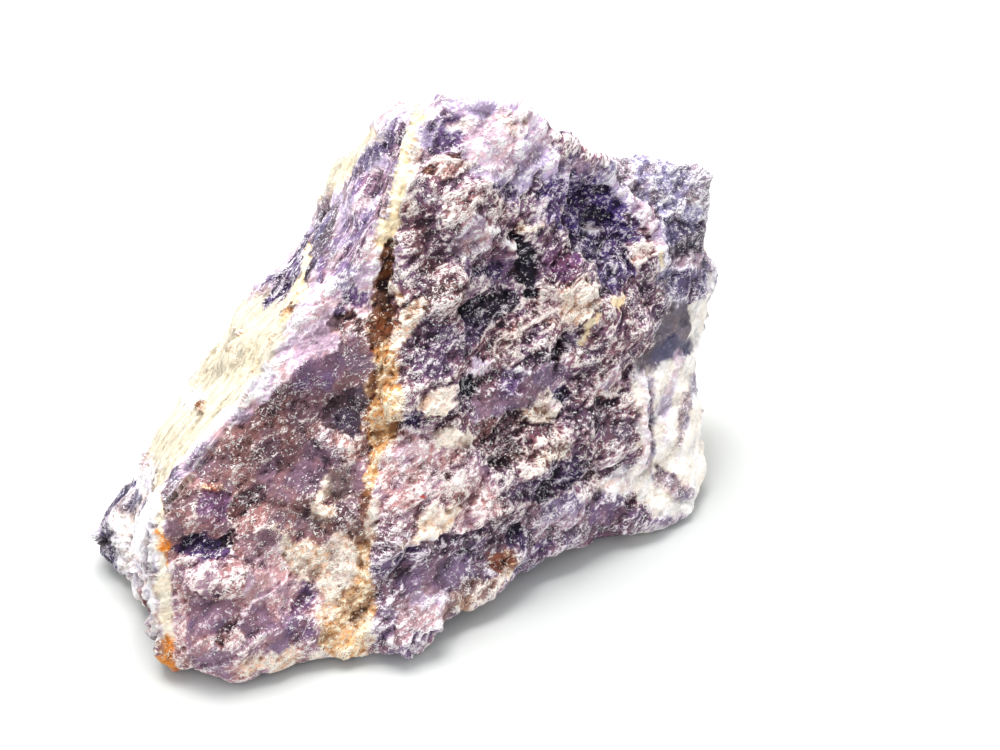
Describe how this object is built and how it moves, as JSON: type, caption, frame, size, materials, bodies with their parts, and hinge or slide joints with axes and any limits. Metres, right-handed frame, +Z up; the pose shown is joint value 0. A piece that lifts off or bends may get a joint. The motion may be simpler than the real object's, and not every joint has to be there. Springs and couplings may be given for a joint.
{
  "type": "rough amethyst chunk",
  "caption": "Rough, unpolished chunk of banded purple and cream amethyst, one solid stone with a ridge, broken faces and an open rusty seam; rests on a flat spot.",
  "frame": {"origin": "under the middle of the stone's box, on the surface it rests on", "axes": "+X along the stone's longest side, to the right along its broken front; +Y from the front to the back; +Z up"},
  "size_m": [0.1492, 0.116, 0.1058],
  "materials": {
    "amethyst": "rough broken quartz: deep violet to lilac crystal with glossy chips, cream and rust-brown bands and pale crusts"
  },
  "bodies": {
    "root": {"amethyst_chunk": "amethyst"}
  },
  "joints": []
}
